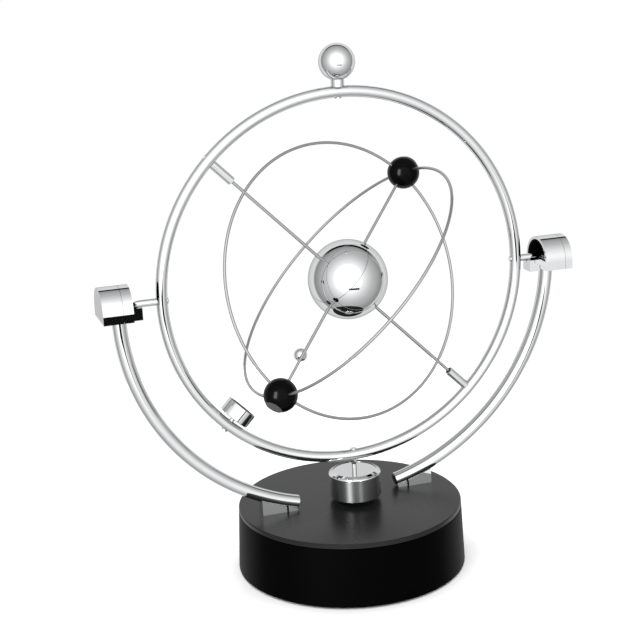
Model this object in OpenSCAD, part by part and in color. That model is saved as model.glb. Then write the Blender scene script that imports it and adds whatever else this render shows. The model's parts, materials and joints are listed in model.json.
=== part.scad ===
// Orbital kinetic desk mobile. A weighted ring rocks on two arms above a round base, whose
// coil drives the magnet in the ring's weight. A set of thin wire rings, a bright sphere and
// two small balls spins about a slanting spindle inside the ring.
// The table is at z = 0, the pivot line runs along X, and the front is towards -Y.

/* [Base] */
// Radius of the base at its top edge
base_top_r = 58; // [57:0.5:62]
// Radius of the base at its lower edge
base_foot_r = 59.5; // [58.5:0.5:64]
// Height of the base's side, from its lower edge to its top face
base_h = 33; // [33:0.5:38]
// How far the rubber feet stand below the base's lower edge
feet_h = 1; // [0.6:0.1:2]
// Thickness of the base's top plate
top_t = 2.4; // [2:0.1:2.6]
// Thickness of the base's bottom plate
bottom_t = 2.4; // [2.2:0.1:2.8]

/* [Arms] */
// Height of the pivot line above the table
pivot_z = 152.5; // [151.5:0.5:158]
// Radius of each arm's bend, at the middle of its tube
arm_r = 113.7; // [113:0.1:114.5]
// Distance from the middle of the base to the end of each arm
arm_end_x = 28.5; // [26:0.5:31]
// Radius of the arm tube
arm_tube_r = 3.5; // [3.2:0.1:3.6]
// Wall of the arm tube
arm_wall = 1; // [0.8:0.1:1.2]
// Lean of the right arm, which sets its foot towards the back of the base
right_lean = 3.9; // [0:0.1:5]

/* [Hoods] */
// Distance from the middle to the open mouth of each hood
hood_mouth_x = 108.2; // [107.5:0.1:109]
// Length of each hood along the pivot line
hood_len = 14.8; // [14:0.1:16]
// Radius of the hood's arched top
hood_arch_r = 11.8; // [11.4:0.1:12.6]
// Height of the hood's top above the pivot line
hood_top = 10.2; // [9.8:0.1:11]
// Depth of the hood's flat underside below the pivot line
hood_floor = 5.8; // [5.6:0.1:6.2]
// Wall of the hood
hood_wall = 1.4; // [1.2:0.1:1.6]
// Distance from the mouth to the seam of the left hood
left_seam = 5; // [4:0.5:6]
// Distance from the mouth to the seam of the right hood
right_seam = 11; // [9.5:0.5:11.5]
// How far the grooved lug stands out of the mouth
lug_out = 5.7; // [5:0.1:6.5]

/* [Ring] */
// Radius of the rocking ring, at the middle of its rod
ring_r = 94; // [93:0.5:95]
// Radius of the ring's rod
ring_rod_r = 2.85; // [2.6:0.05:3]
// How far the ring sits to the right, within its end play
ring_shift = 2; // [0:0.5:2]
// Radius of the pivot pins
pin_r = 1.8; // [1.6:0.1:2]
// Distance from the ring's centre to the point of each pivot pin
pin_reach = 109.3; // [108.5:0.1:110]
// Radius of the ball on top of the ring
top_ball_r = 9; // [8.5:0.1:9.2]
// Distance from the ring's centre to the centre of the top ball
top_ball_at = 108.4; // [108:0.1:108.6]
// Radius of the weight under the ring
weight_r = 13.6; // [12:0.1:14.5]
// Distance from the ring's centre to the top of the weight
weight_from = 102.3; // [101:0.1:104]
// Distance from the ring's centre to the underside of the weight
weight_to = 116; // [115:0.1:117]
// Angle round the ring by which the weight is set to the right of its lowest point
weight_turn = 0.7; // [0:0.1:1]
// Angle round the ring by which the magnet cup is set below the spindle's square
cup_turn = 1.3; // [0:0.1:2]
// Radius of the small magnet cup on the inside of the ring
cup_r = 8.1; // [7:0.1:9]
// Distance from the ring's centre to the cup's inner face
cup_from = 82.4; // [82:0.1:84]
// Distance from the ring's centre to the cup's outer face
cup_to = 89.6; // [88:0.1:90]
// Radius of the two bearing sleeves
sleeve_r = 2.25; // [2.1:0.05:2.6]
// Distance from the ring's centre to the open end of each sleeve
sleeve_from = 78.6; // [78:0.1:80]

/* [Spinning set] */
// Slope of the spindle, down from the upper left to the lower right
spindle_slope = 45; // [40:1:50]
// Distance of the spindle's line from the ring's centre, on the side of the magnet cup
spindle_offset = 0.4; // [0:0.1:1]
// Angle that the cross rod has turned about the spindle, out of the ring's plane
rod_turn = 26; // [0:1:90]
// Radius of the spindle
spindle_r = 0.8; // [0.7:0.05:0.9]
// Radius of the thin wires and of the cross rod
wire_r = 0.75; // [0.65:0.05:0.8]
// Radius of the bright sphere
sphere_r = 20.2; // [19:0.1:22]
// Distance from the spindle to the centre of each small ball
ball_at = 71.2; // [70.5:0.1:71.5]
// How far the sphere sits down the spindle from the cross rod
sphere_slide = 1.6; // [0:0.1:2]
// How far the sphere sits along the cross rod, towards the upper ball
sphere_rise = 1.5; // [0:0.1:2]
// Radius of the small balls
ball_r = 8.4; // [8:0.1:8.6]
// Radius of the wire ring that is soldered to the spindle
wire_a_r = 70; // [69.5:0.1:70.5]
// Radius of the wire ring that stands square to it
wire_b_r = 72; // [71.5:0.1:72.2]
// Radius of the balancing bead on the cross rod
bead_r = 3.3; // [2.5:0.1:3.5]

/* [Hidden] */
$fn = 96;

chrome = [0.86, 0.87, 0.89];
steel = [0.62, 0.63, 0.65];
black = [0.06, 0.06, 0.07];
dark_grey = [0.2, 0.2, 0.21];
copper = [0.72, 0.4, 0.2];
brass = [0.8, 0.66, 0.35];
board_green = [0.1, 0.35, 0.18];

// Heights in the base
shell_z = feet_h;
base_z = feet_h + base_h;
top_under_z = base_z - top_t;
plate_z = shell_z + 0.2;
plate_top_z = plate_z + bottom_t;
seam_gap = 0.4;
shell_in_r = base_top_r - 2.3;
ledge_in_r = base_top_r - 4.2;
plate_r = base_foot_r - 2.5;
run_gap = 0.15;

// Fastening posts of the base
post_ring_r = base_top_r - 7.8;
post_r = 3.1;
screw_r = 1.45;
screw_head_r = 2.8;
screw_head_t = 1.2;
post_split_z = shell_z + 25;

// Battery space and its door
cell_r = 7.1;
cell_len = 48.5;
cell_nub = 1.5;
cell_pitch = 15.2;
cell_z = plate_top_z + 0.5 + cell_r;
tray_in = [61.6, 59];
tray_wall = 1.4;
tray_top_z = plate_top_z + 2 * cell_r + 1.2;
door_size = [58, 56];
door_t = 1.5;
door_tongue = 1.5;
door_tongue_t = 0.7;
door_travel = 10;
door_hole = [56, 53];

// Coil and board
bobbin_r = 15;
bobbin_hub_r = 5.2;
bobbin_flange = 1.2;
bobbin_z = top_under_z - 9.8;
lead_hole_at = bobbin_r - 1.4;
lead_hole_turn = 12;
core_r = 4;
board_size = [24, 34, 1.6];
board_at = [21, -17, top_under_z - 8];

// Arms
arm_turn = acos(arm_end_x / arm_r);
arm_rest_gap = 0.05;
arm_centre_z = base_z + arm_rest_gap + (arm_r + arm_tube_r) * sin(arm_turn);
arm_top_rise = 1.4;
right_foot_y = (pivot_z - base_z - arm_tube_r) * sin(right_lean);
wedge_x = [arm_end_x + 0.8, arm_end_x + 19.5];
wedge_w = 5.6;
wedge_flare = tan(5);
wedge_lip = 0.8;
foot_screw_x = arm_end_x + 6.2;
foot_screw_r = 0.9;

// Hoods and cradles
arch_z = pivot_z + hood_top - hood_arch_r;
hood_floor_z = pivot_z - hood_floor;
liner_wall = 0.6;
liner_back = 3;
lug_w = 8;
lug_depth = 7.2;
tube_clear = 0.8;
cradle_top = pivot_z - 1.2;
cradle_len = 10.5;
tube_top_x = arm_r;
tube_top_z = arm_centre_z + arm_r * sin(arm_top_rise);
groove_depth = pin_r * sqrt(2) + 0.07;
cradle_screw_r = 1;

// Ring fittings
pin_taper = 3.6;
boss_r = 1.7;
boss_t = 0.45;
collar_r = 3.3;
weight_wall = 1.2;
weight_cap = 1.9;
weight_rim = 2.4;
weight_dish = 0.3;
weight_magnet_r = weight_r - weight_wall - 0.15;
cup_wall = 1;
cup_cap = 1.2;
stud_r = 1.3;
sleeve_bore_r = 1.7;
sleeve_deep = 85.5;
bush_from = 80.6;
bush_to = 84.6;
spindle_end = 84.2;
spindle_gap = 0.05;

// Small balls and wires
sphere_wall = 1.2;
magnet_r = 4.3;
magnet_face = 7.4;
lower_magnet_t = 3.4;
upper_magnet_t = 2.5;
solder_gap = 0.02;
wire_in = 4;
bead_at = 46;
bead_turn = 11;

// ---- Shared shapes ----

// Points of a helix that climbs along z
function helix(r, turns, rise, steps) =
    [for (i = [0 : steps]) [r * cos(360 * turns * i / steps), r * sin(360 * turns * i / steps), rise * i / steps]];

// A unit vector
function unit(v) = v / norm(v);

// Direction of travel at point i of a path
function heading(path, i) =
    unit(path[min(i + 1, len(path) - 1)] - path[max(i - 1, 0)]);

// A side vector for the first point, square to its direction
function first_side(d) =
    let (s = cross([0, 0, 1], d)) norm(s) < 0.2 ? unit(cross(d, [1, 0, 0])) : unit(s);

// A side vector for point i, carried along the path so that the tube never twists
function side_at(path, i) =
    let (d = heading(path, i))
    i == 0 ? first_side(d) : let (s = side_at(path, i - 1)) unit(s - d * (d * s));

// A round tube swept along a path
module swept_wire(path, r, sides = 8)
{
    rings = [for (i = [0 : len(path) - 1])
        let (d = heading(path, i), s = side_at(path, i), u = cross(d, s))
        for (k = [0 : sides - 1]) path[i] + r * (cos(360 * k / sides) * s + sin(360 * k / sides) * u)];
    walls = [for (i = [0 : len(path) - 2], k = [0 : sides - 1], half = [0, 1])
        let (a = i * sides + k, b = i * sides + (k + 1) % sides)
        half == 0 ? [a, b, b + sides] : [a, b + sides, a + sides]];
    start_cap = [[for (k = [0 : sides - 1]) sides - 1 - k]];
    end_cap = [[for (k = [0 : sides - 1]) (len(path) - 1) * sides + k]];
    polyhedron(points = rings, faces = concat(walls, start_cap, end_cap));
}

// Four copies on a circle, the first at the given angle
module four_round(r, first)
{
    for (k = [0 : 3])
        rotate([0, 0, first + 90 * k]) translate([r, 0, 0]) children();
}

// A round bar between two distances along +X
module bar(from, to, r)
{
    translate([from, 0, 0]) rotate([0, 90, 0]) cylinder(r = r, h = to - from);
}

// ---- Base ----

module base_shell()
{
    color(black) difference()
    {
        union()
        {
            rotate_extrude($fn = 180) polygon([
                [base_foot_r, shell_z],
                [base_top_r + 0.1, top_under_z - seam_gap],
                [base_top_r - 2, top_under_z - seam_gap],
                [base_top_r - 2, top_under_z],
                [ledge_in_r, top_under_z],
                [ledge_in_r, top_under_z - 1.8],
                [shell_in_r, top_under_z - 3.7],
                [shell_in_r, plate_top_z],
                [plate_r + 0.2, plate_top_z],
                [plate_r + 0.2, shell_z]
            ]);
            four_round(post_ring_r, 0)
            {
                translate([0, 0, plate_top_z]) cylinder(r = post_r, h = post_split_z - plate_top_z);
                translate([0, -1, plate_top_z]) cube([shell_in_r - post_ring_r + 0.5, 2, post_split_z - plate_top_z]);
            }
        }
        four_round(post_ring_r, 0)
            translate([0, 0, plate_top_z - 1]) cylinder(r = screw_r + 0.25, h = base_h);
    }
}

module top_plate()
{
    color(dark_grey) difference()
    {
        union()
        {
            rotate_extrude($fn = 180) polygon([
                [0, top_under_z],
                [base_top_r, top_under_z],
                [base_top_r, base_z - 0.5],
                [base_top_r - 0.5, base_z],
                [0, base_z]
            ]);
            four_round(post_ring_r, 0)
                translate([0, 0, post_split_z + 0.2]) cylinder(r = post_r, h = top_under_z - post_split_z);
        }
        four_round(post_ring_r, 0)
            translate([0, 0, post_split_z - 1]) cylinder(r = screw_r, h = 5.4);
        for (foot = foot_screw_places())
            translate([foot[0], foot[1], top_under_z - 1]) cylinder(r = foot_screw_r + 0.2, h = top_t + 2);
    }
}

// Where the two foot screws stand
function foot_screw_places() = [[-foot_screw_x, 0], [foot_screw_x, right_foot_y]];

module door_outline(grow, length_more)
{
    translate([-door_size[0] / 2 - grow, -door_size[1] / 2 - grow - length_more, plate_z - 1])
        cube([door_size[0] + 2 * grow, door_size[1] + 2 * grow + length_more, door_t + 1 + grow]);
    translate([
        -door_size[0] / 2 - door_tongue - grow,
        -door_size[1] / 2 - grow - length_more,
        plate_z + door_t / 2 - door_tongue_t / 2 - grow
    ])
        cube([
            door_size[0] + 2 * (door_tongue + grow),
            door_size[1] + 2 * grow + length_more,
            door_tongue_t + 2 * grow
        ]);
}

module bottom_plate()
{
    color(black) difference()
    {
        translate([0, 0, plate_z]) cylinder(r = plate_r, h = bottom_t, $fn = 180);
        door_outline(run_gap, door_travel);
        translate([-door_hole[0] / 2, -door_hole[1] / 2, plate_z - 1])
            cube([door_hole[0], door_hole[1], bottom_t + 2]);
        four_round(post_ring_r, 0)
        {
            translate([0, 0, plate_z - 1]) cylinder(r = screw_r + 0.25, h = bottom_t + 2);
            translate([0, 0, plate_z - 1]) cylinder(r = screw_head_r + 0.2, h = 1 + screw_head_t + 0.2);
        }
        four_round(post_ring_r, 45)
            translate([0, 0, plate_z - 1]) cylinder(r = 5, h = 1.6);
    }
}

module battery_door()
{
    color(black) difference()
    {
        intersection()
        {
            door_outline(0, 0);
            translate([-base_top_r, -base_top_r, plate_z]) cube([2 * base_top_r, 2 * base_top_r, door_t]);
        }
        for (k = [0 : 4])
            translate([-9, -door_size[1] / 2 + 6 + 2.2 * k, plate_z - 1]) cube([18, 1.1, 1.6]);
    }
}

module rubber_feet()
{
    color(dark_grey) four_round(post_ring_r, 45)
        rotate_extrude() polygon([[0, 0], [4.4, 0], [4.9, 0.5], [4.9, plate_z + 0.6], [0, plate_z + 0.6]]);
}

module case_screws()
{
    color(steel) four_round(post_ring_r, 0) translate([0, 0, plate_z + 0.2]) difference()
    {
        union()
        {
            cylinder(r = screw_head_r, h = screw_head_t);
            cylinder(r = screw_r, h = 27);
        }
        for (turn = [0, 90])
            rotate([0, 0, turn]) translate([-1.6, -0.3, -1]) cube([3.2, 0.6, 1.7]);
    }
}

// ---- Battery space ----

module battery_tray()
{
    outer = [tray_in[0] + 2 * tray_wall, tray_in[1] + 2 * tray_wall];
    color(black) difference()
    {
        translate([-outer[0] / 2, -outer[1] / 2, plate_top_z])
            cube([outer[0], outer[1], tray_top_z + tray_wall - plate_top_z]);
        translate([-tray_in[0] / 2, -tray_in[1] / 2, plate_top_z - 1])
            cube([tray_in[0], tray_in[1], tray_top_z - plate_top_z + 1]);
        for (end = [-1, 1])
            translate([end * 26, end * (tray_in[1] / 2 + tray_wall / 2), tray_top_z])
                cylinder(r = 1.2, h = 10, center = true);
    }
}

// Each cell lies along Y, and neighbours point opposite ways
module each_cell()
{
    for (k = [0 : 3])
        translate([(k - 1.5) * cell_pitch, 0, cell_z])
            rotate([0, 0, k % 2 == 0 ? 0 : 180]) children();
}

module battery_cells()
{
    color([0.15, 0.3, 0.2]) each_cell() rotate([-90, 0, 0]) rotate_extrude() polygon([
        [0, -cell_len / 2],
        [cell_r - 0.4, -cell_len / 2],
        [cell_r, -cell_len / 2 + 0.4],
        [cell_r, cell_len / 2 - 0.6],
        [cell_r - 1, cell_len / 2],
        [2.7, cell_len / 2],
        [2.7, cell_len / 2 + cell_nub],
        [0, cell_len / 2 + cell_nub]
    ]);
}

module contact_plates()
{
    plate_y = cell_len / 2 + cell_nub + 0.05;
    color(steel) each_cell()
    {
        translate([-5, plate_y, -5.5]) cube([10, 0.5, 11]);
        translate([-5, -tray_in[1] / 2 + 0.05, -5.5]) cube([10, 0.5, 11]);
    }
}

module contact_springs()
{
    spring_from = tray_in[1] / 2 - 1;
    color(steel) each_cell() translate([0, -spring_from, 0]) rotate([-90, 0, 0])
        swept_wire(helix(3.4, 3, spring_from - cell_len / 2 - 0.75, 36), 0.35, 6);
}

// ---- Coil and circuit ----

module coil_bobbin()
{
    color([0.9, 0.9, 0.86]) translate([0, 0, bobbin_z]) difference()
    {
        rotate_extrude() polygon([
            [core_r, 0],
            [bobbin_r, 0],
            [bobbin_r, bobbin_flange],
            [bobbin_hub_r, bobbin_flange],
            [bobbin_hub_r, 9.6 - bobbin_flange],
            [bobbin_r, 9.6 - bobbin_flange],
            [bobbin_r, 9.6],
            [core_r, 9.6]
        ]);
        for (k = [0, 1])
            rotate([0, 0, lead_hole_turn * k]) translate([lead_hole_at, 0, -1]) cylinder(r = 0.6, h = 3);
    }
}

module coil_winding()
{
    color(copper) translate([0, 0, bobbin_z + bobbin_flange]) rotate_extrude() polygon([
        [bobbin_hub_r, 0],
        [bobbin_r - 2.4, 0],
        [bobbin_r - 2.4, 9.6 - 2 * bobbin_flange],
        [bobbin_hub_r, 9.6 - 2 * bobbin_flange]
    ]);
}

module coil_core()
{
    color(steel) translate([0, 0, bobbin_z - 0.2]) union()
    {
        cylinder(r = core_r, h = 9.9);
        translate([0, 0, -0.8]) cylinder(r = core_r + 1.5, h = 0.8);
    }
}

module circuit_board()
{
    color(board_green) translate(board_at) difference()
    {
        cube(board_size);
        for (x = [2.5, board_size[0] - 2.5], y = [2.5, board_size[1] - 2.5])
            translate([x, y, -1]) cylinder(r = 1.1, h = 4);
    }
}

module drive_transistor()
{
    color(black) translate(board_at + [7, 9, board_size[2] + 0.6]) union()
    {
        intersection()
        {
            cylinder(r = 2.4, h = 4.6);
            translate([-3, -1.4, 0]) cube([6, 4, 5]);
        }
        for (k = [-1 : 1])
            translate([1.27 * k - 0.2, -0.2, -0.6]) cube([0.4, 0.4, 0.7]);
    }
}

module board_parts()
{
    board_top = board_at + [0, 0, board_size[2]];
    color([0.2, 0.35, 0.6]) union()
    {
        // smoothing capacitor, lying on its side
        translate(board_top + [16, 6, 2.6]) rotate([-90, 0, 0]) cylinder(r = 2.6, h = 9);
        // two resistors and a diode
        for (k = [0 : 2])
            translate(board_top + [5 + 5 * k, 26, 1.1]) rotate([-90, 0, 0]) cylinder(r = 1.1, h = 5);
        // sensor capacitor
        translate(board_top + [5, 17, 0]) cube([5, 2.2, 4]);
    }
}

module battery_leads()
{
    up_z = board_at[2] - 0.1;
    hole_y = tray_in[1] / 2 + tray_wall / 2;
    color([0.7, 0.1, 0.08])
    {
        swept_wire([
            [26, hole_y, cell_z + 4], [26, hole_y, tray_top_z + 1], [26.5, hole_y - 2, tray_top_z + 2.8],
            [27, 22, tray_top_z + 3], [27, 12, tray_top_z + 3], [27, 9, tray_top_z + 3.3], [27, 8, up_z]
        ], 0.6);
        swept_wire([
            [-26, -hole_y, cell_z + 4], [-26, -hole_y, tray_top_z + 1], [-25, -hole_y + 1.5, tray_top_z + 2.8],
            [-14, -25, tray_top_z + 3], [6, -23, tray_top_z + 3], [22, -14, tray_top_z + 3.3], [24, -12, up_z]
        ], 0.6);
    }
}

module coil_leads()
{
    low_z = bobbin_z - 0.75;
    color(copper) for (k = [0, 1])
        let (x = lead_hole_at * cos(lead_hole_turn * k), y = lead_hole_at * sin(lead_hole_turn * k))
        swept_wire([
            [x, y, bobbin_z + 1.6], [x, y, bobbin_z - 0.3],
            [x + 0.6, y, low_z], [18, 3 * k, low_z - 0.1], [22, 3 * k, low_z - 0.1],
            [23.4, 3 * k, low_z + 0.3], [23.8, 3 * k, board_at[2] - 0.1]
        ], 0.35);
}

// ---- Arms ----

// Sweeps a flat section along the right arm's centre line
module arm_sweep()
{
    translate([0, 0, arm_centre_z]) rotate([90, 0, 0]) rotate([0, 0, -arm_turn])
        rotate_extrude(angle = arm_turn + arm_top_rise, $fn = 240) translate([arm_r, 0]) children();
}

// Places children at the foot end of the right arm, with +Z out of the tube
module at_arm_end()
{
    translate([0, 0, arm_centre_z]) rotate([90, 0, 0]) rotate([0, 0, -arm_turn])
        translate([arm_r, 0, 0]) rotate([90, 0, 0]) children();
}

// Leans children about the pivot line
module leaned(angle)
{
    translate([0, 0, pivot_z]) rotate([angle, 0, 0]) translate([0, 0, -pivot_z]) children();
}

module left_side()
{
    mirror([1, 0, 0]) children();
}

// Height of the tube's underside above the table at distance x from the middle
function tube_under(x) = arm_centre_z - sqrt(pow(arm_r + arm_tube_r, 2) - x * x);

module arm_tube()
{
    color(chrome) arm_sweep() difference()
    {
        circle(r = arm_tube_r, $fn = 48);
        circle(r = arm_tube_r - arm_wall, $fn = 48);
    }
}

module arm_plug()
{
    bore_r = arm_tube_r - arm_wall;
    color(steel) at_arm_end() rotate_extrude() polygon([
        [0, -2.2],
        [bore_r - 0.05, -2.2],
        [bore_r - 0.05, 0],
        [arm_tube_r - 0.3, 0],
        [arm_tube_r - 0.3, 0.3],
        [arm_tube_r - 0.9, 0.7],
        [0, 0.9]
    ]);
}

// Wedge under an arm's foot: its sides slope outwards towards the base
module foot_wedge(foot_y, lean)
{
    tall = tube_under(wedge_x[1]) + wedge_lip - base_z;
    foot_w = wedge_w / 2 + tall * wedge_flare;
    color(chrome) difference()
    {
        intersection()
        {
            translate([0, foot_y + foot_w, 0]) rotate([90, 0, 0]) linear_extrude(2 * foot_w) polygon([
                [wedge_x[0], base_z],
                [wedge_x[1], base_z],
                [wedge_x[1], base_z + tall],
                [wedge_x[0], tube_under(wedge_x[0]) + wedge_lip]
            ]);
            translate([wedge_x[0] - 1, foot_y, base_z]) rotate([90, 0, 90])
                linear_extrude(wedge_x[1] - wedge_x[0] + 2) polygon([
                    [-foot_w, 0],
                    [foot_w, 0],
                    [wedge_w / 2, tall],
                    [-wedge_w / 2, tall]
                ]);
        }
        leaned(lean) arm_sweep() circle(r = arm_tube_r, $fn = 48);
        translate([foot_screw_x, foot_y, base_z - 1]) cylinder(r = foot_screw_r + 0.15, h = 12);
        translate([foot_screw_x - 0.5, foot_y - 2 * wedge_w, base_z - 1]) cube([1, 2 * wedge_w, 12]);
    }
}

module foot_screws()
{
    color(dark_grey) for (foot = foot_screw_places())
        translate([foot[0], foot[1], top_under_z - screw_head_t]) union()
        {
            cylinder(r = screw_head_r, h = screw_head_t);
            cylinder(r = foot_screw_r, h = screw_head_t + top_t + 4);
        }
}

// ---- Hoods ----

// Arched outline with a flat floor, in Y and Z, drawn inset from the hood's outside
module arch_outline(inset)
{
    r = hood_arch_r - inset;
    translate([0, arch_z]) circle(r = r);
    translate([-r, hood_floor_z + inset]) square([2 * r, arch_z - hood_floor_z - inset]);
}

// The arched outline as a solid along +X
module arch_block(from, to, inset)
{
    translate([from, 0, 0]) rotate([90, 0, 90]) linear_extrude(to - from) intersection()
    {
        arch_outline(inset);
        translate([-2 * hood_arch_r, hood_floor_z + inset]) square([4 * hood_arch_r, 4 * hood_arch_r]);
    }
}

module tube_hole()
{
    translate([tube_top_x, 0, hood_floor_z - 3]) cylinder(r = arm_tube_r + tube_clear, h = 12);
}

module hood_sleeve(seam)
{
    color(chrome) difference()
    {
        arch_block(hood_mouth_x, hood_mouth_x + seam - 0.15, 0);
        arch_block(hood_mouth_x - 1, hood_mouth_x + seam + 1, hood_wall);
        tube_hole();
    }
}

module hood_cap(seam)
{
    color(chrome) difference()
    {
        arch_block(hood_mouth_x + seam, hood_mouth_x + hood_len, 0);
        arch_block(hood_mouth_x - 1, hood_mouth_x + hood_len - hood_wall, hood_wall);
        tube_hole();
    }
}

// Dark lining of the hood, closed behind the pin's point
module hood_liner()
{
    inside_end = hood_mouth_x + hood_len - hood_wall;
    color(black) difference()
    {
        arch_block(hood_mouth_x + 0.6, inside_end, hood_wall);
        arch_block(hood_mouth_x - 1, inside_end - liner_back, hood_wall + liner_wall);
        translate([hood_mouth_x - 1, -hood_arch_r, hood_floor_z])
            cube([hood_len, 2 * hood_arch_r, cradle_top - hood_floor_z]);
    }
}

// Block on the hood's floor whose lug carries the pivot pin in a groove
module cradle()
{
    floor_top = hood_floor_z + hood_wall;
    color(chrome) difference()
    {
        union()
        {
            translate([hood_mouth_x + 0.2, -hood_arch_r + hood_wall, floor_top])
                cube([cradle_len, 2 * (hood_arch_r - hood_wall), cradle_top - floor_top]);
            translate([hood_mouth_x - lug_out, -lug_w / 2, pivot_z - lug_depth])
                cube([lug_out - 0.2, lug_w, lug_depth - pivot_z + cradle_top]);
            translate([hood_mouth_x - 1, -lug_w / 2, floor_top])
                cube([2, lug_w, cradle_top - floor_top]);
        }
        translate([hood_mouth_x - 10, 0, pivot_z]) rotate([45, 0, 0]) translate([0, -pin_r - 0.05, -pin_r - 0.05])
            cube([14, 2 * pin_r + 0.1, 2 * pin_r + 0.1]);
        translate([tube_top_x, 0, hood_floor_z])
            cylinder(r = arm_tube_r + tube_clear, h = tube_top_z + 0.35 - hood_floor_z);
        translate([tube_top_x, 0, hood_floor_z]) cylinder(r = cradle_screw_r, h = 12);
    }
}

// Screw through a cradle, with the plug in the arm's upper end that holds it
module cradle_screw(lean)
{
    bore_r = arm_tube_r - arm_wall;
    union()
    {
        translate([tube_top_x, 0, cradle_top]) cylinder(r = 1.9, h = 1.1);
        translate([tube_top_x, 0, tube_top_z - 1]) cylinder(r = cradle_screw_r - 0.05, h = cradle_top - tube_top_z + 1.1);
        leaned(lean) translate([tube_top_x, 0, tube_top_z - 4]) cylinder(r = bore_r - 0.2, h = 3.7);
    }
}

module cradle_screws()
{
    color(steel) union()
    {
        left_side() cradle_screw(0);
        cradle_screw(right_lean);
    }
}

// ---- Ring ----

// Places children in the ring's frame: origin at its centre, ring in the XZ plane
module in_ring()
{
    translate([ring_shift, 0, pivot_z]) children();
}

// In the ring's frame, turns +X towards an angle measured from +X up to +Z
module towards(angle)
{
    rotate([0, -angle, 0]) children();
}

module ring_torus(r)
{
    rotate([90, 0, 0]) rotate_extrude($fn = 240) translate([ring_r, 0]) circle(r = r);
}

// Holes for the pins, studs and sleeves that pass through the ring's rod
module stud_hole(angle, r)
{
    towards(angle) bar(ring_r - 6, ring_r + 6, r);
}

// Angles round the ring of what is fixed to it
square_angle = 180 + spindle_slope;
cup_angle = square_angle + cup_turn;
weight_angle = 270 + weight_turn;
upper_angle = 180 - spindle_slope;
lower_angle = -spindle_slope;

module main_ring()
{
    color(chrome) in_ring() difference()
    {
        ring_torus(ring_rod_r);
        for (angle = [0, 180]) stud_hole(angle, boss_r - 0.3);
        for (angle = [90, weight_angle, cup_angle]) stud_hole(angle, stud_r);
        in_spindle_line() for (angle = [upper_angle, lower_angle])
            towards(angle) bar(ring_r - 6, ring_r + 6, stud_r);
    }
}

// A pin on the pivot line: a boss inside the ring, a shank through it, and a tapered point
module pivot_pin()
{
    color(chrome) rotate([0, 90, 0]) rotate_extrude() polygon([
        [0, ring_r - ring_rod_r - boss_t],
        [boss_r - 0.5, ring_r - ring_rod_r - boss_t],
        [boss_r, ring_r - ring_rod_r + 0.1],
        [boss_r - 0.3, ring_r - ring_rod_r + 0.1],
        [boss_r - 0.3, ring_r + ring_rod_r - 0.2],
        [pin_r, ring_r + ring_rod_r - 0.2],
        [pin_r, pin_reach - pin_taper],
        [pin_r - 0.5, pin_reach - pin_taper / 2],
        [0.5, pin_reach - 0.2],
        [0, pin_reach]
    ]);
}

module top_ball()
{
    color(chrome) in_ring() difference()
    {
        translate([0, 0, top_ball_at]) sphere(r = top_ball_r, $fn = 120);
        cylinder(r = stud_r, h = top_ball_at - 3);
        cylinder(r = collar_r, h = top_ball_at - top_ball_r + 0.7);
    }
}

// Threaded stud with the collar that the top ball is screwed down on
module top_ball_stud()
{
    color(chrome) in_ring() rotate_extrude() polygon([
        [0, ring_r - ring_rod_r - boss_t],
        [boss_r, ring_r - ring_rod_r - boss_t],
        [boss_r, ring_r - ring_rod_r + 0.1],
        [stud_r, ring_r - ring_rod_r + 0.1],
        [stud_r, ring_r + ring_rod_r - 0.3],
        [collar_r, ring_r + ring_rod_r - 0.3],
        [collar_r, top_ball_at - top_ball_r + 0.7],
        [stud_r, top_ball_at - top_ball_r + 0.7],
        [stud_r, top_ball_at - 3],
        [0, top_ball_at - 3]
    ]);
}

// In the ring's frame, with -Z towards the weight
module on_weight_line()
{
    in_ring() towards(weight_turn) children();
}

module weight_shell()
{
    color(chrome) on_weight_line() rotate_extrude($fn = 120) polygon([
        [stud_r, -weight_from - weight_dish],
        [weight_r - weight_rim, -weight_from - weight_dish],
        [weight_r - weight_rim, -weight_from],
        [weight_r - 0.9, -weight_from - 0.6],
        [weight_r - 0.2, -weight_from - 1.1],
        [weight_r, -weight_from - 1.6],
        [weight_r - 0.2, -weight_from - 1.9],
        [weight_r - 0.2, -weight_to + 0.3],
        [weight_r - 0.5, -weight_to],
        [weight_r - weight_wall, -weight_to],
        [weight_r - weight_wall, -weight_from - weight_cap],
        [stud_r, -weight_from - weight_cap]
    ]);
}

module weight_magnet()
{
    color(dark_grey) on_weight_line() translate([0, 0, -weight_to + 0.3])
        cylinder(r = weight_magnet_r, h = weight_to - weight_from - weight_cap - 2.2);
}

module weight_stud()
{
    color(chrome) on_weight_line() rotate_extrude() polygon([
        [0, -ring_r + ring_rod_r + boss_t],
        [boss_r, -ring_r + ring_rod_r + boss_t],
        [boss_r, -ring_r + ring_rod_r - 0.1],
        [stud_r, -ring_r + ring_rod_r - 0.1],
        [stud_r, -weight_from - weight_cap],
        [stud_r + 1, -weight_from - weight_cap],
        [stud_r + 1, -weight_from - weight_cap - 1.1],
        [0, -weight_from - weight_cap - 1.1]
    ]);
}

// Turns a lathe profile of [radius, distance from the ring's centre] to the cup's direction
module on_cup_line()
{
    in_ring() towards(cup_angle) rotate([0, 90, 0]) children();
}

module magnet_cup()
{
    color(chrome) on_cup_line() rotate_extrude($fn = 120) polygon([
        [cup_r - cup_wall, cup_from],
        [cup_r, cup_from],
        [cup_r, cup_to - 0.4],
        [cup_r - 0.4, cup_to],
        [stud_r, cup_to],
        [stud_r, cup_to - cup_cap],
        [cup_r - cup_wall, cup_to - cup_cap]
    ]);
}

module cup_magnet()
{
    color(dark_grey) on_cup_line() translate([0, 0, cup_from + 0.3])
        cylinder(r = cup_r - cup_wall - 0.1, h = cup_to - cup_cap - cup_from - 1.6);
}

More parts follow.
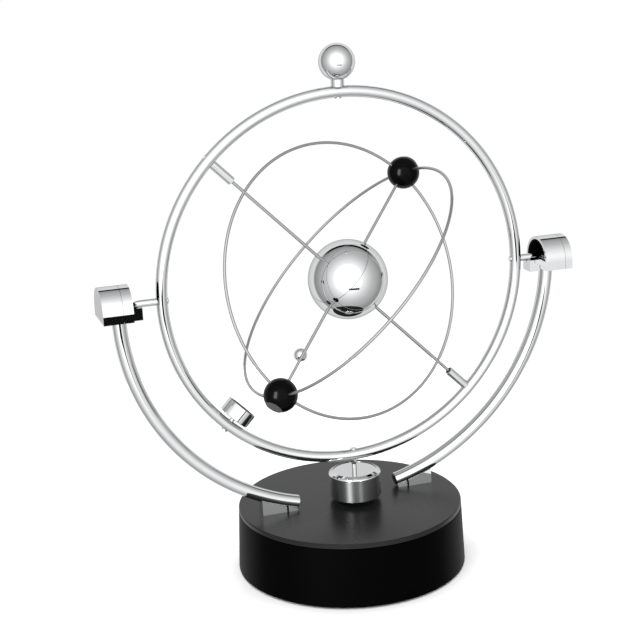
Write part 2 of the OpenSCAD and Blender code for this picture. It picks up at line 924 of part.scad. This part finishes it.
module cup_stud()
{
    color(chrome) on_cup_line() rotate_extrude() polygon([
        [0, cup_to - cup_cap - 1],
        [stud_r + 1, cup_to - cup_cap - 1],
        [stud_r + 1, cup_to - cup_cap],
        [stud_r, cup_to - cup_cap],
        [stud_r, ring_r + ring_rod_r - 0.1],
        [boss_r, ring_r + ring_rod_r - 0.1],
        [boss_r, ring_r + ring_rod_r + boss_t],
        [0, ring_r + ring_rod_r + boss_t]
    ]);
}

// The spindle's line, moved off the ring's centre towards the magnet cup
module in_spindle_line()
{
    towards(square_angle) translate([spindle_offset, 0, 0]) towards(-square_angle) children();
}

module sleeve(angle)
{
    color(chrome) in_ring() in_spindle_line() towards(angle) rotate([0, 90, 0]) rotate_extrude() polygon([
        [sleeve_bore_r, sleeve_from],
        [sleeve_r, sleeve_from],
        [sleeve_r, ring_r - ring_rod_r + 0.5],
        [stud_r, ring_r - ring_rod_r + 0.5],
        [stud_r, ring_r + ring_rod_r - 0.3],
        [0, ring_r + ring_rod_r - 0.3],
        [0, sleeve_deep],
        [sleeve_bore_r, sleeve_deep]
    ]);
}

// Cup-shaped bearing for the spindle's end
module bush(angle)
{
    color(brass) in_ring() in_spindle_line() towards(angle) rotate([0, 90, 0]) rotate_extrude() polygon([
        [spindle_r + spindle_gap, bush_from],
        [sleeve_bore_r, bush_from],
        [sleeve_bore_r, bush_to + 0.8],
        [0, bush_to + 0.8],
        [0, bush_to],
        [spindle_r + spindle_gap, bush_to]
    ]);
}

// ---- Spinning set ----

// Origin where the cross rod meets the spindle, +X along the spindle to the lower right
module in_spin()
{
    in_ring() in_spindle_line() towards(lower_angle) children();
}

// As in_spin, with +Z turned to lie along the cross rod, towards the upper ball
module in_rod()
{
    in_spin() rotate([-rod_turn, 0, 0]) children();
}

module spindle()
{
    taper = 1;
    color(chrome) in_spin() rotate([0, 90, 0]) rotate_extrude() polygon([
        [0, -spindle_end],
        [0.3, -spindle_end],
        [spindle_r, -spindle_end + taper],
        [spindle_r, spindle_end - taper],
        [0.3, spindle_end],
        [0, spindle_end]
    ]);
}

module central_sphere()
{
    color(chrome) in_rod() difference()
    {
        translate([sphere_slide, 0, sphere_rise]) sphere(r = sphere_r, $fn = 180);
        translate([sphere_slide, 0, sphere_rise]) sphere(r = sphere_r - sphere_wall, $fn = 180);
        cylinder(r = wire_r, h = 3 * sphere_r, center = true);
        rotate([0, 90, 0]) cylinder(r = spindle_r, h = 3 * sphere_r, center = true);
    }
}

module cross_rod()
{
    color(chrome) in_rod() difference()
    {
        cylinder(r = wire_r, h = 2 * (ball_at - ball_r + wire_in), center = true);
        rotate([0, 90, 0]) cylinder(r = spindle_r + solder_gap, h = 10, center = true);
    }
}

// Wire ring A lies in the plane of the rod and the spindle, ring B square to it
module wire_a_torus(r)
{
    rotate([90, 0, 0]) rotate_extrude($fn = 240) translate([wire_a_r, 0]) circle(r = r, $fn = 24);
}

module wire_b_torus(r)
{
    rotate([0, 90, 0]) rotate_extrude($fn = 240) translate([wire_b_r, 0]) circle(r = r, $fn = 24);
}

module wire_ring_a()
{
    color(chrome) in_rod() difference()
    {
        wire_a_torus(wire_r);
        rotate([0, 90, 0]) cylinder(r = spindle_r + solder_gap, h = 3 * wire_a_r, center = true);
        for (end = [-1, 1]) translate([0, 0, end * ball_at]) sphere(r = ball_r - wire_in);
    }
}

module wire_ring_b()
{
    color(chrome) in_rod() difference()
    {
        wire_b_torus(wire_r);
        for (end = [-1, 1]) translate([0, 0, end * ball_at]) sphere(r = ball_r - wire_in);
    }
}

// A small ball, drilled for the rod and both wire rings, with a seat for its magnet
module small_ball(end, magnet_t)
{
    color(black) in_rod() difference()
    {
        translate([0, 0, end * ball_at]) sphere(r = ball_r, $fn = 120);
        cylinder(r = wire_r, h = 2 * (ball_at - ball_r + wire_in), center = true);
        difference()
        {
            wire_a_torus(wire_r);
            translate([0, 0, end * ball_at]) sphere(r = ball_r - wire_in);
        }
        difference()
        {
            wire_b_torus(wire_r);
            translate([0, 0, end * ball_at]) sphere(r = ball_r - wire_in);
        }
        magnet_disc(end, magnet_t, 4);
    }
}

module magnet_disc(end, magnet_t, more)
{
    mirror([0, 0, end < 0 ? 1 : 0]) translate([0, 0, ball_at + magnet_face - magnet_t])
        cylinder(r = magnet_r, h = magnet_t + more);
}

module ball_magnet(end, magnet_t)
{
    color(steel) in_rod() magnet_disc(end, magnet_t, 0);
}

module balance_bead()
{
    stand_off = bead_r + wire_r - 0.1;
    color(chrome) in_rod() difference()
    {
        translate([0, 0, -bead_at]) rotate([0, 0, -bead_turn]) translate([0, stand_off, 0]) sphere(r = bead_r);
        cylinder(r = wire_r, h = 3 * bead_at, center = true);
    }
}

// ---- The parts, one line each ----

base_shell();
top_plate();
bottom_plate();
battery_door();
rubber_feet();
case_screws();
battery_tray();
battery_cells();
contact_plates();
contact_springs();
coil_bobbin();
coil_winding();
coil_core();
circuit_board();
drive_transistor();
board_parts();
battery_leads();
coil_leads();
left_side() arm_tube();  // left_arm
leaned(right_lean) arm_tube();  // right_arm
left_side() arm_plug();  // left_arm_plug
leaned(right_lean) arm_plug();  // right_arm_plug
left_side() foot_wedge(0, 0);  // left_foot_wedge
foot_wedge(right_foot_y, right_lean);  // right_foot_wedge
foot_screws();
left_side() hood_sleeve(left_seam);  // left_hood_sleeve
left_side() hood_cap(left_seam);  // left_hood_cap
hood_sleeve(right_seam);  // right_hood_sleeve
hood_cap(right_seam);  // right_hood_cap
left_side() hood_liner();  // left_hood_liner
hood_liner();  // right_hood_liner
left_side() cradle();  // left_cradle
cradle();  // right_cradle
cradle_screws();
main_ring();
in_ring() left_side() pivot_pin();  // left_pivot_pin
in_ring() pivot_pin();  // right_pivot_pin
top_ball();
top_ball_stud();
weight_shell();
weight_magnet();
weight_stud();
magnet_cup();
cup_magnet();
cup_stud();
sleeve(upper_angle);  // upper_sleeve
sleeve(lower_angle);  // lower_sleeve
bush(upper_angle);  // upper_bush
bush(lower_angle);  // lower_bush
spindle();
central_sphere();
cross_rod();
small_ball(1, upper_magnet_t);  // upper_ball
small_ball(-1, lower_magnet_t);  // lower_ball
ball_magnet(1, upper_magnet_t);  // upper_ball_magnet
ball_magnet(-1, lower_magnet_t);  // lower_ball_magnet
wire_ring_a();
wire_ring_b();
balance_bead();
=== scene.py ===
import json
import math

import bpy
from mathutils import Matrix, Vector

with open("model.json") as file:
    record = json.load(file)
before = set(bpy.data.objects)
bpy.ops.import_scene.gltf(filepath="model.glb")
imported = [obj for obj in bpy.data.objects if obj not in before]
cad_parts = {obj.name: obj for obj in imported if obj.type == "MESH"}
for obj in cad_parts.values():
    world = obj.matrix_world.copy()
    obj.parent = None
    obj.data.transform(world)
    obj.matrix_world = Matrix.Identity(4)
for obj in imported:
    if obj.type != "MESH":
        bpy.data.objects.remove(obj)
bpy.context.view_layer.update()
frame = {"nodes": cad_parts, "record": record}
NODES = frame["nodes"]

# ---- Camera ----
CAMERA_AT = Vector((-0.2360, -0.7038, 0.3390))
CAMERA_AZIMUTH = math.radians(17.652)
CAMERA_ELEVATION = math.radians(15.596)
CAMERA_ROLL = math.radians(-2.459)
CAMERA_LENS = 85.67
CAMERA_SENSOR = 36.0


def camera_axes():
    """(right, up, forward) of the camera."""
    flat = math.cos(CAMERA_ELEVATION)
    forward = Vector((
        math.sin(CAMERA_AZIMUTH) * flat,
        math.cos(CAMERA_AZIMUTH) * flat,
        -math.sin(CAMERA_ELEVATION),
    ))
    right = Vector((math.cos(CAMERA_AZIMUTH), -math.sin(CAMERA_AZIMUTH), 0.0))
    up = right.cross(forward)
    turn_cos = math.cos(CAMERA_ROLL)
    turn_sin = math.sin(CAMERA_ROLL)
    return turn_cos * right + turn_sin * up, turn_cos * up - turn_sin * right, forward


def make_camera():
    right, up, forward = camera_axes()
    data = bpy.data.cameras.new("camera")
    data.sensor_width = CAMERA_SENSOR
    data.lens = CAMERA_LENS
    data.clip_start = 0.01
    data.clip_end = 50.0
    camera = bpy.data.objects.new("camera", data)
    bpy.context.scene.collection.objects.link(camera)
    turn = Matrix((right, up, -forward)).transposed()
    camera.matrix_world = Matrix.Translation(CAMERA_AT) @ turn.to_4x4()
    bpy.context.scene.camera = camera


# ---- Small helpers for node trees ----
def new_material(name):
    """(material, its node tree, its Principled shader), with nothing else in the tree."""
    material = bpy.data.materials.new(name)
    material.use_nodes = True
    tree = material.node_tree
    tree.nodes.clear()
    out = tree.nodes.new("ShaderNodeOutputMaterial")
    shader = tree.nodes.new("ShaderNodeBsdfPrincipled")
    tree.links.new(shader.outputs[0], out.inputs[0])
    return material, tree, shader


def add_node(tree, kind, **values):
    node = tree.nodes.new(kind)
    for key, value in values.items():
        setattr(node, key, value)
    return node


def math_node(tree, operation, a, b=None):
    """Math node on one or two sockets or numbers."""
    node = add_node(tree, "ShaderNodeMath", operation=operation)
    for socket, value in zip(node.inputs, (a, b)):
        if value is None:
            continue
        if isinstance(value, (int, float)):
            socket.default_value = value
        else:
            tree.links.new(value, socket)
    return node.outputs[0]


def object_place(tree):
    """Place on the object, in metres."""
    return add_node(tree, "ShaderNodeTexCoord").outputs["Object"]


def noise(tree, scale, detail=3.0, roughness=0.5, vector=None):
    """Noise factor over the object, with scale in features per metre."""
    node = add_node(tree, "ShaderNodeTexNoise")
    node.inputs["Scale"].default_value = scale
    node.inputs["Detail"].default_value = detail
    node.inputs["Roughness"].default_value = roughness
    if vector is None:
        vector = object_place(tree)
    tree.links.new(vector, node.inputs["Vector"])
    return node.outputs["Fac"]


def spread(tree, factor, low, high, start=0.0):
    """Maps the range start to 1 of a factor to the range low to high."""
    node = add_node(tree, "ShaderNodeMapRange")
    node.inputs["From Min"].default_value = start
    node.inputs["To Min"].default_value = low
    node.inputs["To Max"].default_value = high
    tree.links.new(factor, node.inputs["Value"])
    return node.outputs["Result"]


def ramp(tree, factor, stops):
    """Colour ramp with (place, grey or rgb) stops."""
    node = add_node(tree, "ShaderNodeValToRGB")
    elements = node.color_ramp.elements
    while len(elements) > 1:
        elements.remove(elements[-1])
    for i, (place, colour) in enumerate(stops):
        element = elements[0] if i == 0 else elements.new(place)
        element.position = place
        rgb = (colour,) * 3 if isinstance(colour, (int, float)) else colour
        element.color = (*rgb, 1.0)
    tree.links.new(factor, node.inputs["Fac"])
    return node.outputs["Color"]


def soft_step(tree, value, low, high):
    """0 below low, 1 above high, and smooth between."""
    step = add_node(tree, "ShaderNodeMapRange", interpolation_type="SMOOTHSTEP")
    step.inputs["From Min"].default_value = low
    step.inputs["From Max"].default_value = high
    tree.links.new(value, step.inputs["Value"])
    return step.outputs["Result"]


def window(tree, value, rise, fall):
    """1 where value lies between two soft steps, 0 outside."""
    return math_node(tree, "SUBTRACT", soft_step(tree, value, *rise), soft_step(tree, value, *fall))


def bump(tree, shader, height, strength, distance):
    node = add_node(tree, "ShaderNodeBump")
    node.inputs["Strength"].default_value = strength
    node.inputs["Distance"].default_value = distance
    tree.links.new(height, node.inputs["Height"])
    tree.links.new(node.outputs["Normal"], shader.inputs["Normal"])


def shade(colour, share):
    """The colour, darker by a share."""
    return tuple(share * c for c in colour)


# ---- Materials: gloss gives the smoothest and the roughest places of each ----
def polished_chrome(name, tint, gloss, wave):
    """Bright plating: faint waves from polishing, smudges, and hairline marks in the gloss."""
    material, tree, shader = new_material(name)
    shader.inputs["Metallic"].default_value = 1.0
    smudge = noise(tree, 60.0, 4.0, 0.6)
    colour = ramp(tree, smudge, [(0.3, shade(tint, 0.965)), (0.7, tint)])
    tree.links.new(colour, shader.inputs["Base Color"])
    hairlines = noise(tree, 420.0, 5.0, 0.65)
    tree.links.new(spread(tree, hairlines, *gloss), shader.inputs["Roughness"])
    bump(tree, shader, noise(tree, 90.0, 2.0, 0.4), 0.25, wave)
    return material


def black_plastic(name, colour, gloss, ior, grain, depth):
    """Moulded plastic with a fine grain and slight patches of colour and gloss."""
    material, tree, shader = new_material(name)
    shader.inputs["IOR"].default_value = ior
    fine = noise(tree, grain, 4.0, 0.6)
    patches = noise(tree, 35.0, 3.0, 0.5)
    mottled = ramp(tree, patches, [(0.3, shade(colour, 0.82)), (0.7, colour)])
    tree.links.new(mottled, shader.inputs["Base Color"])
    tree.links.new(spread(tree, patches, *gloss), shader.inputs["Roughness"])
    bump(tree, shader, fine, 0.35, depth)
    return material


def turned_steel_and_painted_shade(name, tint, gloss):
    """Lathe-turned side that draws each light out into an upright band, between polished ends; the
    side also carries painted shade, its colour a fifth of the ends' tint.
    """
    # painted shade: share of the tint kept on the turned side faces
    painted_side_shade = 0.2
    polished = 0.02
    material, tree, shader = new_material(name)
    shader.inputs["Metallic"].default_value = 1.0
    shader.inputs["Anisotropic"].default_value = 0.9
    shader.inputs["Anisotropic Rotation"].default_value = 0.25
    tangent = add_node(tree, "ShaderNodeTangent", direction_type="RADIAL", axis="Z")
    tree.links.new(tangent.outputs[0], shader.inputs["Tangent"])
    split = add_node(tree, "ShaderNodeSeparateXYZ")
    tree.links.new(add_node(tree, "ShaderNodeNewGeometry").outputs["Normal"], split.inputs[0])
    lean = math_node(tree, "ABSOLUTE", split.outputs["Z"])
    side = ramp(tree, lean, [(0.1, 1.0), (0.3, 0.0)])
    # noise stretched round the axis makes the tool's fine rings
    place = add_node(tree, "ShaderNodeVectorMath", operation="MULTIPLY")
    tree.links.new(object_place(tree), place.inputs[0])
    place.inputs[1].default_value = (0.02, 0.02, 1.0)
    rings = spread(tree, noise(tree, 9000.0, 3.0, 0.6, place.outputs[0]), *gloss)
    rough = spread(tree, math_node(tree, "MULTIPLY", side, rings), polished, 1.0)
    tree.links.new(rough, shader.inputs["Roughness"])
    # painted shade: the turned side's colour drops to a fifth of the tint, darker than the polished
    # ends
    colour = ramp(tree, side, [(0.0, tint), (1.0, shade(tint, painted_side_shade))])
    tree.links.new(colour, shader.inputs["Base Color"])
    return material


def lacquer_black(name):
    """Deep gloss black with a slight orange peel."""
    material, tree, shader = new_material(name)
    shader.inputs["IOR"].default_value = 1.15
    colour = ramp(tree, noise(tree, 120.0), [(0.35, 0.0004), (0.7, 0.0008)])
    tree.links.new(colour, shader.inputs["Base Color"])
    tree.links.new(spread(tree, noise(tree, 500.0, 5.0), 0.15, 0.22), shader.inputs["Roughness"])
    bump(tree, shader, noise(tree, 260.0, 3.0), 0.2, 0.00002)
    return material


def brushed(name, colour, gloss, metallic=1.0):
    """Metal or magnet face with a fine directionless grain."""
    material, tree, shader = new_material(name)
    shader.inputs["Metallic"].default_value = metallic
    shader.inputs["IOR"].default_value = 1.45
    fine = noise(tree, 900.0, 5.0, 0.7)
    grained = ramp(tree, fine, [(0.25, shade(colour, 0.8)), (0.75, colour)])
    tree.links.new(grained, shader.inputs["Base Color"])
    tree.links.new(spread(tree, fine, *gloss), shader.inputs["Roughness"])
    bump(tree, shader, fine, 0.3, 0.00002)
    return material


def wound_copper(name):
    """Copper winding: layers of thin round wire that run round the coil, with painted shade in the
    grooves between the turns.
    """
    wire_pitch = 0.0004
    # painted shade for the grooves between the wire turns
    painted_gap_shade = (0.25, 0.08, 0.02)
    wire_colour = (0.8, 0.36, 0.14)
    material, tree, shader = new_material(name)
    shader.inputs["Metallic"].default_value = 1.0
    split = add_node(tree, "ShaderNodeSeparateXYZ")
    tree.links.new(object_place(tree), split.inputs[0])
    phase = math_node(tree, "MULTIPLY", split.outputs["Z"], 2 * math.pi / wire_pitch)
    turns = math_node(tree, "SINE", phase)
    # painted shade: the colour darkens in the grooves between the wire turns
    colour = ramp(tree, spread(tree, turns, 0.0, 1.0), [(0.0, painted_gap_shade), (1.0, wire_colour)])
    tree.links.new(colour, shader.inputs["Base Color"])
    shader.inputs["Roughness"].default_value = 0.35
    bump(tree, shader, turns, 0.6, 0.0001)
    return material


def cell_sleeve(name):
    """Plain dark green sleeve of the cells."""
    material, tree, shader = new_material(name)
    grain = noise(tree, 700.0, 4.0)
    colour = ramp(tree, grain, [(0.3, (0.03, 0.10, 0.05)), (0.7, (0.04, 0.13, 0.07))])
    tree.links.new(colour, shader.inputs["Base Color"])
    tree.links.new(spread(tree, grain, 0.25, 0.4), shader.inputs["Roughness"])
    bump(tree, shader, grain, 0.2, 0.00003)
    return material


CHROME = (0.62, 0.625, 0.63)
WIRE = (0.40, 0.40, 0.405)

# slot: (tint, gloss, depth of the polishing waves)
PLATED = {
    "chrome": (CHROME, (0.015, 0.05), 0.00001),
    "wire_steel": (WIRE, (0.28, 0.36), 0.0000005),
}
# slot: (colour, gloss, index of refraction, grains per metre, depth of the grain)
MOULDED = {
    "base_black": ((0.0004, 0.0004, 0.00045), (0.30, 0.38), 1.08, 2600.0, 0.00004),
    "plate_black": ((0.009, 0.009, 0.0092), (0.24, 0.32), 1.30, 2200.0, 0.00003),
    "under_black": ((0.012, 0.012, 0.012), (0.4, 0.5), 1.4, 1800.0, 0.00006),
    "foot_rubber": ((0.02, 0.02, 0.02), (0.7, 0.85), 1.4, 1500.0, 0.0001),
    "tray_plastic": ((0.02, 0.02, 0.022), (0.4, 0.55), 1.45, 1500.0, 0.00006),
    "liner_black": ((0.002, 0.002, 0.002), (0.7, 0.85), 1.2, 1500.0, 0.00004),
    "bobbin_plastic": ((0.7, 0.68, 0.6), (0.35, 0.45), 1.46, 1200.0, 0.00005),
    "board": ((0.02, 0.16, 0.05), (0.25, 0.35), 1.5, 1400.0, 0.00005),
    "component_body": ((0.03, 0.035, 0.06), (0.3, 0.45), 1.5, 1500.0, 0.00005),
    "lead_red": ((0.45, 0.02, 0.015), (0.4, 0.5), 1.45, 1500.0, 0.00005),
}
# slot: (colour, gloss, how metallic)
GRAINED = {
    "magnet_grey": ((0.06, 0.06, 0.06), (0.35, 0.5), 0.3),
    "magnet_dark": ((0.004, 0.004, 0.004), (0.45, 0.6), 0.2),
    "screw_steel": ((0.5, 0.5, 0.52), (0.25, 0.4), 1.0),
    "black_screw": ((0.02, 0.02, 0.02), (0.2, 0.35), 0.5),
    "contact_metal": ((0.6, 0.6, 0.6), (0.2, 0.3), 1.0),
    "core_iron": ((0.2, 0.2, 0.21), (0.4, 0.55), 1.0),
    # bush_brass is darkened far below brass: painted shade for the dark mouth of the sleeve it sits
    # in
    "bush_brass": ((0.07, 0.05, 0.028), (0.3, 0.45), 1.0),
}
# Nodes whose surface differs from their slot's usual finish
FINISH_OF_NODE = {"weight_shell": "turned_steel_and_painted_shade"}


def make_materials():
    """Every finish, by its slot's name."""
    made = {name: polished_chrome(name, *look) for name, look in PLATED.items()}
    made.update({name: black_plastic(name, *look) for name, look in MOULDED.items()})
    made.update({name: brushed(name, *look) for name, look in GRAINED.items()})
    made["turned_steel_and_painted_shade"] = turned_steel_and_painted_shade("turned_steel_and_painted_shade", CHROME, (0.36, 0.44))
    made["ball_black"] = lacquer_black("ball_black")
    made["cell_sleeve"] = cell_sleeve("cell_sleeve")
    made["copper"] = wound_copper("copper")
    return made


def dress_nodes():
    """Each CAD node gets its slot's detailed material."""
    materials = make_materials()
    slots = {row["node"]: row["material_slot"] for row in frame["record"]["subparts"]}
    for name, obj in NODES.items():
        material = materials[FINISH_OF_NODE.get(name, slots[name])]
        if not obj.material_slots:
            obj.data.materials.append(material)
        for slot in obj.material_slots:
            slot.material = material


# ---- Studio ----
# (place, grey) of the light tent: place 0 is straight ahead of the camera, 1 straight behind it
TENT = [
    (0.0, 0.20),
    (0.03, 0.30),
    (0.10, 0.46),
    (0.255, 0.56),
    (0.29, 0.30),
    (0.33, 0.20),
    (0.38, 0.225),
    (0.50, 0.31),
    (0.64, 0.39),
    (0.75, 0.52),
    (0.85, 0.70),
    (0.92, 1.0),
]
TENT_STRENGTH = 2.0
BACKDROP_STRENGTH = 1.02
# Dark gap in the tent over the camera's top: its (place, share) and how far up it starts
GAP = [(0.27, 0.0), (0.295, 1.0), (0.345, 1.0), (0.37, 0.0)]
GAP_START = (0.60, 0.80)
# Soft edges of the dark slot low in the tent's front, on a unit direction
SLOT_BOTTOM = (-0.32, -0.305)
SLOT_TOP = (-0.235, -0.215)
SLOT_LEFT = (-0.02, 0.04)
SLOT_RIGHT = (0.47, 0.53)
SLOT_FRONT = (0.1, 0.2)
SLOT_SHARE = 0.995
# A soft edge beyond every direction
NO_END = (1.4, 1.5)


def along(tree, axis):
    """How far each direction of the world points along an axis."""
    node = add_node(tree, "ShaderNodeVectorMath", operation="DOT_PRODUCT")
    tree.links.new(add_node(tree, "ShaderNodeTexCoord").outputs["Generated"], node.inputs[0])
    node.inputs[1].default_value = axis
    return node.outputs["Value"]


def tent_place(tree):
    """Each direction's place on the tent's scale."""
    toward_front = math_node(tree, "MULTIPLY", along(tree, camera_axes()[2]), -1.0)
    return spread(tree, toward_front, 0.0, 1.0, start=-1.0)


def dark_slot(tree):
    """1 in the slot low in the tent's front, 0 elsewhere."""
    side = Vector((math.cos(CAMERA_AZIMUTH), -math.sin(CAMERA_AZIMUTH), 0.0))
    front = Vector((-math.sin(CAMERA_AZIMUTH), -math.cos(CAMERA_AZIMUTH), 0.0))
    height = window(tree, along(tree, Vector((0.0, 0.0, 1.0))), SLOT_BOTTOM, SLOT_TOP)
    width = window(tree, along(tree, side), SLOT_LEFT, SLOT_RIGHT)
    depth = window(tree, along(tree, front), SLOT_FRONT, NO_END)
    return math_node(tree, "MULTIPLY", math_node(tree, "MULTIPLY", height, width), depth)


def tent_light(tree, place):
    """The tent's grey, less its dark gap and slot."""
    upward = window(tree, along(tree, camera_axes()[1]), GAP_START, NO_END)
    overhead = math_node(tree, "MULTIPLY", ramp(tree, place, GAP), upward)
    slot = math_node(tree, "MULTIPLY", dark_slot(tree), SLOT_SHARE)
    lit = math_node(tree, "SUBTRACT", 1.0, math_node(tree, "MAXIMUM", overhead, slot))
    scaled = add_node(tree, "ShaderNodeVectorMath", operation="SCALE")
    tree.links.new(ramp(tree, place, TENT), scaled.inputs[0])
    tree.links.new(lit, scaled.inputs["Scale"])
    return scaled.outputs[0]


def studio_world():
    """White backdrop for the camera, and a grey-sided light tent for everything else."""
    world = bpy.data.worlds.new("studio")
    bpy.context.scene.world = world
    world.use_nodes = True
    tree = world.node_tree
    tree.nodes.clear()
    out = add_node(tree, "ShaderNodeOutputWorld")
    light = add_node(tree, "ShaderNodeBackground")
    light.inputs["Strength"].default_value = TENT_STRENGTH
    tree.links.new(tent_light(tree, tent_place(tree)), light.inputs["Color"])
    backdrop = add_node(tree, "ShaderNodeBackground")
    backdrop.inputs["Color"].default_value = (1.0, 1.0, 1.0, 1.0)
    backdrop.inputs["Strength"].default_value = BACKDROP_STRENGTH
    pick = add_node(tree, "ShaderNodeMixShader")
    tree.links.new(add_node(tree, "ShaderNodeLightPath").outputs["Is Camera Ray"], pick.inputs[0])
    tree.links.new(light.outputs[0], pick.inputs[1])
    tree.links.new(backdrop.outputs[0], pick.inputs[2])
    tree.links.new(pick.outputs[0], out.inputs[0])


def soft_light(name, at, target, size, power, gloss=True, diffuse=True, only=()):
    """Area light; one with a list of nodes lights those alone, as a flagged strip light does."""
    data = bpy.data.lights.new(name, "AREA")
    data.shape = "RECTANGLE"
    data.size = size[0]
    data.size_y = size[1]
    data.energy = power
    lamp = bpy.data.objects.new(name, data)
    bpy.context.scene.collection.objects.link(lamp)
    lamp.location = at
    lamp.rotation_mode = "QUATERNION"
    lamp.rotation_quaternion = (Vector(target) - Vector(at)).to_track_quat("-Z", "Y")
    lamp.visible_diffuse = diffuse
    lamp.visible_glossy = gloss
    if only:
        lit = bpy.data.collections.new(name + "_lit")
        for node in only:
            lit.objects.link(NODES[node])
        lamp.light_linking.receiver_collection = lit


def gloss_light(name, at, target, size, power, only):
    """Strip light that shows as a highlight alone, on the given nodes."""
    soft_light(name, at, target, size, power, diffuse=False, only=only)


def studio_lights():
    blacks = ("upper_ball", "lower_ball", "base_shell")
    weight = ("weight_shell",)
    middle = (0, 0, 0.13)
    low = (0, 0, 0.04)
    gloss_light("left_strip", (-0.95, -0.75, 0.45), middle, (0.42, 0.9), 34.0, blacks)
    gloss_light("weight_left", (-0.70, -0.74, 0.22), low, (0.30, 0.4), 14.0, weight)
    gloss_light("weight_right", (0.08, -1.02, 0.22), low, (0.16, 0.4), 3.0, weight)
    soft_light("top_softbox", (0.0, 0.3, 1.5), (0, 0, 0.0), (1.2, 1.2), 16.0, gloss=False)


def floor():
    """Plain pale disc just under the feet; the backdrop is as white beyond it."""
    radius = 0.36
    sides = 128
    drop = 0.00005
    turns = [2 * math.pi * k / sides for k in range(sides)]
    rim = [(radius * math.cos(turn), radius * math.sin(turn), 0) for turn in turns]
    mesh = bpy.data.meshes.new("studio_floor")
    mesh.from_pydata(rim, [], [tuple(range(sides))])
    obj = bpy.data.objects.new("studio_floor", mesh)
    bpy.context.scene.collection.objects.link(obj)
    obj.location.z = -drop
    obj.visible_glossy = False
    material, tree, shader = new_material("floor_white")
    shader.inputs["Base Color"].default_value = (0.97, 0.97, 0.97, 1.0)
    shader.inputs["Roughness"].default_value = 0.9
    shader.inputs["Specular IOR Level"].default_value = 0.0
    obj.data.materials.append(material)


make_camera()
studio_world()
floor()
studio_lights()
dress_nodes()
bpy.context.scene.view_settings.view_transform = "Standard"
